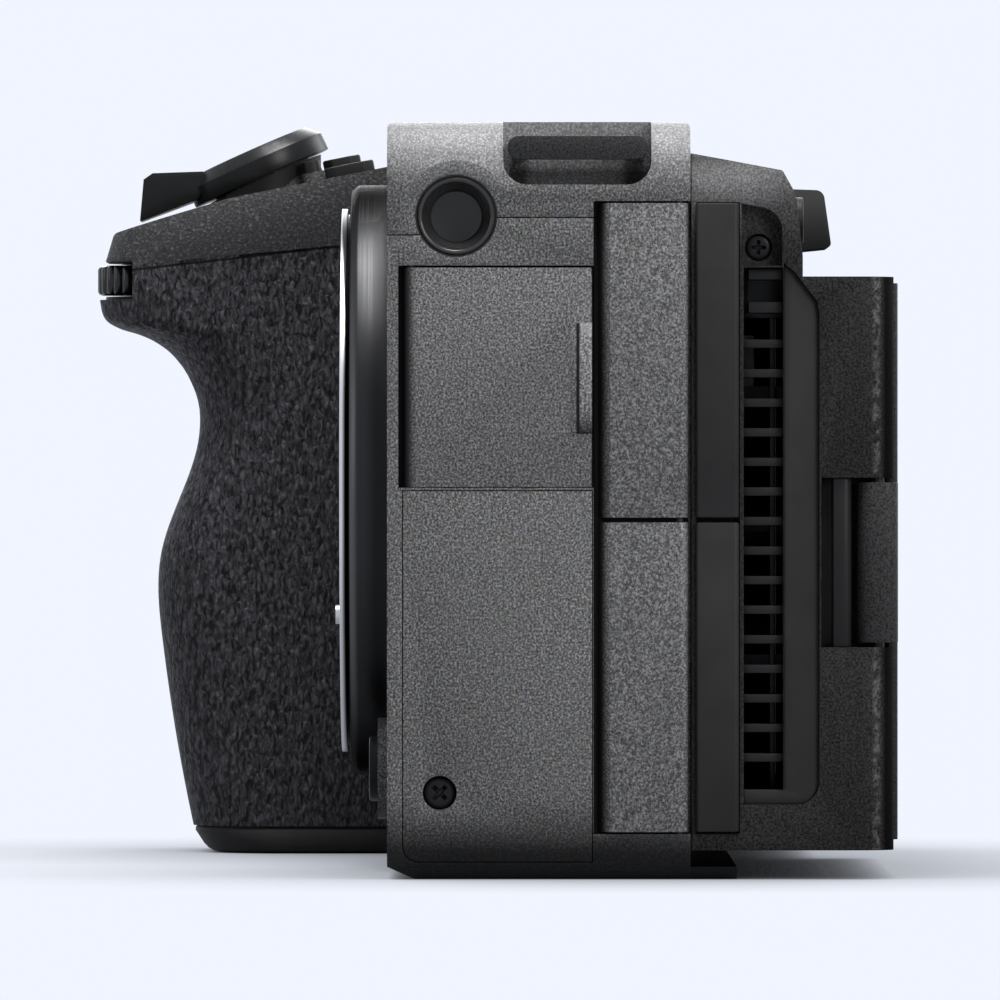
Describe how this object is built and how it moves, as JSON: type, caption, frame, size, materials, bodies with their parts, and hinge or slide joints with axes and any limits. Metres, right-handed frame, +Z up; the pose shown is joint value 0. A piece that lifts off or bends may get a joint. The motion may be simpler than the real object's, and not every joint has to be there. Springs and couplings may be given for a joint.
{
  "type": "cinema camera",
  "caption": "Compact box-shaped cinema camera body with lens mount, textured hand grip, side-hinged monitor, jack doors, cooling vent and threaded mounting holes.",
  "frame": {"origin": "middle of the footprint's box, on the surface that the camera stands on", "axes": "+X to the operator's left, which is the side with the jack doors; -Y along the lens axis out of the mount; +Z up"},
  "size_m": [0.1298, 0.0856, 0.0803],
  "materials": {
    "speckled_paint": "satin paint with fine metallic flecks",
    "dark_paint": "darker satin paint with faint flecks",
    "grip_leather": "coarse black leather grain",
    "smooth_grey": "smooth dark grey moulding",
    "black_plastic": "matte black moulding",
    "satin_black": "satin black ring",
    "bright_steel": "turned and polished",
    "steel": "fine brushed",
    "black_steel": "black oxide",
    "gold_contacts": "black carrier with gold springs",
    "cast_alloy": "as cast",
    "board_green": "solder mask",
    "optic_glass": "coated cover glass",
    "sensor_face": "dark iridescent sensor",
    "screen_glass": "black glass over the panel",
    "red_lamp": "translucent red",
    "red_button": "black cap"
  },
  "bodies": {
    "body": {"front_cover": "speckled_paint", "top_cover": "speckled_paint", "rear_cover": "dark_paint", "base_plate": "speckled_paint", "grip_shell": "grip_leather", "side_panel": "speckled_paint", "door_strips": "smooth_grey", "vent_frame": "smooth_grey", "vent_grille": "black_plastic", "strap_bars": "speckled_paint", "thread_inserts": "black_steel", "tripod_socket": "steel", "accessory_shoe": "steel", "mount_collar": "satin_black", "bayonet_ring": "bright_steel", "screws": "black_steel", "contact_block": "gold_contacts", "light_baffle": "black_plastic", "chassis": "cast_alloy", "main_board": "board_green", "heat_sink": "cast_alloy", "fan_housing": "black_plastic", "battery": "black_plastic", "card_slots": "steel", "jack_sockets": "black_plastic", "data_ports": "steel", "monitor_hinge_base": "black_plastic", "monitor_hinge_pin": "steel", "hinge_pins": "steel", "tally_lamp": "red_lamp"},
    "audio_door": {"audio_door": "speckled_paint"},
    "upper_data_door": {"upper_data_door": "speckled_paint"},
    "lower_data_door": {"lower_data_door": "speckled_paint"},
    "battery_door": {"battery_door": "black_plastic"},
    "battery_latch": {"battery_latch": "black_plastic"},
    "card_door": {"card_door": "speckled_paint"},
    "zoom_lever": {"zoom_lever": "black_plastic"},
    "record_button": {"record_button": "red_button"},
    "iso_button": {"iso_button": "black_plastic"},
    "iris_button": {"iris_button": "black_plastic"},
    "balance_button": {"balance_button": "black_plastic"},
    "front_dial": {"front_dial": "black_plastic"},
    "rear_dial": {"rear_dial": "black_plastic"},
    "power_switch": {"power_switch": "black_plastic"},
    "control_wheel": {"control_wheel": "black_plastic"},
    "centre_button": {"centre_button": "black_plastic"},
    "menu_button": {"menu_button": "black_plastic"},
    "play_button": {"play_button": "black_plastic"},
    "function_button": {"function_button": "black_plastic"},
    "joystick_gimbal": {"joystick_gimbal": "black_plastic"},
    "joystick": {"joystick": "black_plastic"},
    "lens_release_button": {"lens_release_button": "black_plastic"},
    "lens_lock_pin": {"lens_lock_pin": "steel"},
    "fan_rotor": {"fan_rotor": "black_plastic"},
    "stabiliser_stage": {"stabiliser_stage": "cast_alloy"},
    "monitor": {"monitor_shell": "dark_paint", "monitor_screen": "screen_glass", "monitor_hinge_block": "dark_paint"},
    "sensor": {"sensor_package": "sensor_face", "sensor_glass": "optic_glass"}
  },
  "joints": [
    {"name": "audio_door_hinge", "type": "hinge", "parent": "body", "child": "audio_door", "pos_m": [0.0636, -0.00725, 0.05147], "axis": [0, 0, -1], "range_deg": [0, 100]},
    {"name": "upper_data_door_hinge", "type": "hinge", "parent": "body", "child": "upper_data_door", "pos_m": [0.06385, 0.0203, 0.0532], "axis": [0, 0, 1], "range_deg": [0, 100]},
    {"name": "lower_data_door_hinge", "type": "hinge", "parent": "body", "child": "lower_data_door", "pos_m": [0.06385, 0.0203, 0.02075], "axis": [0, 0, 1], "range_deg": [0, 100]},
    {"name": "card_door_hinge", "type": "hinge", "parent": "body", "child": "card_door", "pos_m": [-0.06395, 0.0175, 0.039], "axis": [0, 0, 1], "range_deg": [0, 100]},
    {"name": "battery_door_hinge", "type": "hinge", "parent": "body", "child": "battery_door", "pos_m": [-0.06025, -0.0058, 0.00115], "axis": [0, 1, 0], "range_deg": [0, 95]},
    {"name": "battery_latch_slide", "type": "slide", "parent": "battery_door", "child": "battery_latch", "axis": [-1, 0, 0], "range_m": [0, 0.0022]},
    {"name": "monitor_swing", "type": "hinge", "parent": "body", "child": "monitor", "pos_m": [0.0617, 0.0407, 0.0325], "axis": [0, 0, -1], "range_deg": [0, 176]},
    {"name": "zoom_lever_turn", "type": "hinge", "parent": "body", "child": "zoom_lever", "pos_m": [-0.05, -0.0252, 0.0761], "axis": [0, -0.4067, 0.9135], "range_deg": [-15, 15], "stiffness_Nm_per_rad": 0.02},
    {"name": "record_button_press", "type": "slide", "parent": "body", "child": "record_button", "axis": [0, 0.4067, -0.9135], "range_m": [0, 0.0005], "stiffness_N_per_m": 400},
    {"name": "iso_button_press", "type": "slide", "parent": "body", "child": "iso_button", "axis": [0, 0.1948, -0.9808], "range_m": [0, 0.0004], "stiffness_N_per_m": 300},
    {"name": "iris_button_press", "type": "slide", "parent": "body", "child": "iris_button", "axis": [0, 0.1948, -0.9808], "range_m": [0, 0.0004], "stiffness_N_per_m": 300},
    {"name": "balance_button_press", "type": "slide", "parent": "body", "child": "balance_button", "axis": [0, 0.1948, -0.9808], "range_m": [0, 0.0004], "stiffness_N_per_m": 300},
    {"name": "front_dial_turn", "type": "hinge", "parent": "body", "child": "front_dial", "pos_m": [-0.051, -0.0358, 0.06325], "axis": [0, 0, 1], "continuous": true},
    {"name": "rear_dial_turn", "type": "hinge", "parent": "body", "child": "rear_dial", "pos_m": [-0.034, 0.0277, 0.0668], "axis": [0, 0, 1], "continuous": true},
    {"name": "control_wheel_turn", "type": "hinge", "parent": "body", "child": "control_wheel", "pos_m": [-0.042, 0.0366, 0.027], "axis": [0, 1, 0], "continuous": true},
    {"name": "power_switch_turn", "type": "hinge", "parent": "body", "child": "power_switch", "pos_m": [-0.051, 0.012, 0.0778], "axis": [0, 0, 1], "range_deg": [0, 35]},
    {"name": "centre_button_press", "type": "slide", "parent": "body", "child": "centre_button", "axis": [0, -1, 0], "range_m": [0, 0.0004], "stiffness_N_per_m": 300},
    {"name": "menu_button_press", "type": "slide", "parent": "body", "child": "menu_button", "axis": [0, -1, 0], "range_m": [0, 0.0004], "stiffness_N_per_m": 300},
    {"name": "play_button_press", "type": "slide", "parent": "body", "child": "play_button", "axis": [0, -1, 0], "range_m": [0, 0.0004], "stiffness_N_per_m": 300},
    {"name": "function_button_press", "type": "slide", "parent": "body", "child": "function_button", "axis": [0, -1, 0], "range_m": [0, 0.0004], "stiffness_N_per_m": 300},
    {"name": "joystick_tilt", "type": "hinge", "parent": "body", "child": "joystick_gimbal", "pos_m": [-0.028, 0.0334, 0.0545], "axis": [1, 0, 0], "range_deg": [-8, 8], "stiffness_Nm_per_rad": 0.01},
    {"name": "joystick_pan", "type": "hinge", "parent": "joystick_gimbal", "child": "joystick", "pos_m": [-0.028, 0.0334, 0.0545], "axis": [0, 0, 1], "range_deg": [-8, 8], "stiffness_Nm_per_rad": 0.01},
    {"name": "lens_release_press", "type": "slide", "parent": "body", "child": "lens_release_button", "axis": [0, 1, 0], "range_m": [0, 0.0012], "stiffness_N_per_m": 500},
    {"name": "lens_lock_pin_slide", "type": "slide", "parent": "body", "child": "lens_lock_pin", "axis": [0, 1, 0], "range_m": [0, 0.0012]},
    {"name": "fan_spin", "type": "hinge", "parent": "body", "child": "fan_rotor", "pos_m": [0.044, 0.024, 0.036], "axis": [0, 1, 0], "continuous": true},
    {"name": "stabiliser_rise", "type": "slide", "parent": "body", "child": "stabiliser_stage", "axis": [0, 0, 1], "range_m": [-0.001, 0.001]},
    {"name": "stabiliser_shift", "type": "slide", "parent": "stabiliser_stage", "child": "sensor", "axis": [1, 0, 0], "range_m": [-0.001, 0.001]}
  ],
  "couplings": [
    {"joint": "lens_lock_pin_slide", "follows": "lens_release_press", "ratio": 1}
  ]
}
